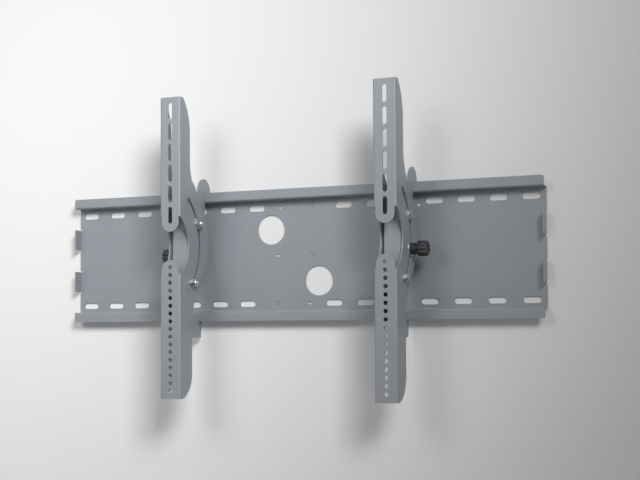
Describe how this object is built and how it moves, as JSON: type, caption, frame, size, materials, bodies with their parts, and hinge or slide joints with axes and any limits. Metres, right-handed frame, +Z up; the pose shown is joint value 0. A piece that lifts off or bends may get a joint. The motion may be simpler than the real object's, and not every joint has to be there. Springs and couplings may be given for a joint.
{
  "type": "tilting wall bracket",
  "caption": "Folded steel wall plate with hook-on screen arms that tilt in arc slots and are held by clamping knobs.",
  "frame": {"origin": "middle of the wall plate's flat back", "axes": "+X along the plate, +Y into the wall, +Z up"},
  "size_m": [0.904, 0.121, 0.53],
  "materials": {
    "powder_coat": "fine silver-grey powder coat on folded steel sheet",
    "zinc": "bright zinc-plated steel",
    "black_plastic": "moulded black plastic",
    "nylon": "natural nylon",
    "spring_steel": "bare spring wire"
  },
  "bodies": {
    "plate": {"wall_plate": "powder_coat"},
    "left_hook": {"left_hook_bracket": "powder_coat", "left_upper_bolt": "zinc", "left_upper_nut": "zinc", "left_upper_outer_washer": "zinc", "left_upper_inner_washer": "zinc", "left_upper_outer_liner": "nylon", "left_upper_inner_liner": "nylon", "left_upper_sleeve": "zinc", "left_lower_bolt": "zinc", "left_lower_nut": "zinc", "left_lower_outer_washer": "zinc", "left_lower_inner_washer": "zinc", "left_lower_outer_liner": "nylon", "left_lower_inner_liner": "nylon", "left_lower_sleeve": "zinc", "left_clamp_washer": "zinc", "left_clamp_liner": "nylon", "left_weld_nut": "zinc", "left_latch_pin": "zinc", "left_latch_outer_sleeve": "nylon", "left_latch_inner_sleeve": "nylon", "left_spring_pin": "zinc", "left_latch_spring": "spring_steel"},
    "left_arm": {"left_screen_arm": "powder_coat"},
    "left_knob": {"left_knob": "black_plastic", "left_knob_stud": "zinc"},
    "left_latch": {"left_latch": "powder_coat"},
    "right_hook": {"right_hook_bracket": "powder_coat", "right_upper_bolt": "zinc", "right_upper_nut": "zinc", "right_upper_outer_washer": "zinc", "right_upper_inner_washer": "zinc", "right_upper_outer_liner": "nylon", "right_upper_inner_liner": "nylon", "right_upper_sleeve": "zinc", "right_lower_bolt": "zinc", "right_lower_nut": "zinc", "right_lower_outer_washer": "zinc", "right_lower_inner_washer": "zinc", "right_lower_outer_liner": "nylon", "right_lower_inner_liner": "nylon", "right_lower_sleeve": "zinc", "right_clamp_washer": "zinc", "right_clamp_liner": "nylon", "right_weld_nut": "zinc", "right_latch_pin": "zinc", "right_latch_outer_sleeve": "nylon", "right_latch_inner_sleeve": "nylon", "right_spring_pin": "zinc", "right_latch_spring": "spring_steel"},
    "right_arm": {"right_screen_arm": "powder_coat"},
    "right_knob": {"right_knob": "black_plastic", "right_knob_stud": "zinc"},
    "right_latch": {"right_latch": "powder_coat"}
  },
  "joints": [
    {"name": "left_slide", "type": "slide", "parent": "plate", "child": "left_hook", "axis": [1, 0, 0], "range_m": [-0.24, 0.145]},
    {"name": "left_tilt", "type": "hinge", "parent": "left_hook", "child": "left_arm", "pos_m": [-0.187, -0.1455, 0.018], "axis": [1, 0, 0], "range_deg": [-15, 10]},
    {"name": "left_knob_turn", "type": "hinge", "parent": "left_hook", "child": "left_knob", "pos_m": [-0.187, -0.05053, 0.00091], "axis": [1, 0, 0], "range_deg": [0, 300]},
    {"name": "left_latch_turn", "type": "hinge", "parent": "left_hook", "child": "left_latch", "pos_m": [-0.187, -0.074, -0.111], "axis": [-1, 0, 0], "range_deg": [0, 14], "stiffness_Nm_per_rad": 0.1, "springref_deg": -28.65, "deforming": ["left_latch_spring"]},
    {"name": "right_slide", "type": "slide", "parent": "plate", "child": "right_hook", "axis": [1, 0, 0], "range_m": [-0.17, 0.214]},
    {"name": "right_tilt", "type": "hinge", "parent": "right_hook", "child": "right_arm", "pos_m": [0.213, -0.1455, 0.018], "axis": [1, 0, 0], "range_deg": [-15, 10]},
    {"name": "right_knob_turn", "type": "hinge", "parent": "right_hook", "child": "right_knob", "pos_m": [0.213, -0.05053, 0.00091], "axis": [1, 0, 0], "range_deg": [-300, 0]},
    {"name": "right_latch_turn", "type": "hinge", "parent": "right_hook", "child": "right_latch", "pos_m": [0.213, -0.074, -0.111], "axis": [-1, 0, 0], "range_deg": [0, 14], "stiffness_Nm_per_rad": 0.1, "springref_deg": -28.65, "deforming": ["right_latch_spring"]}
  ]
}
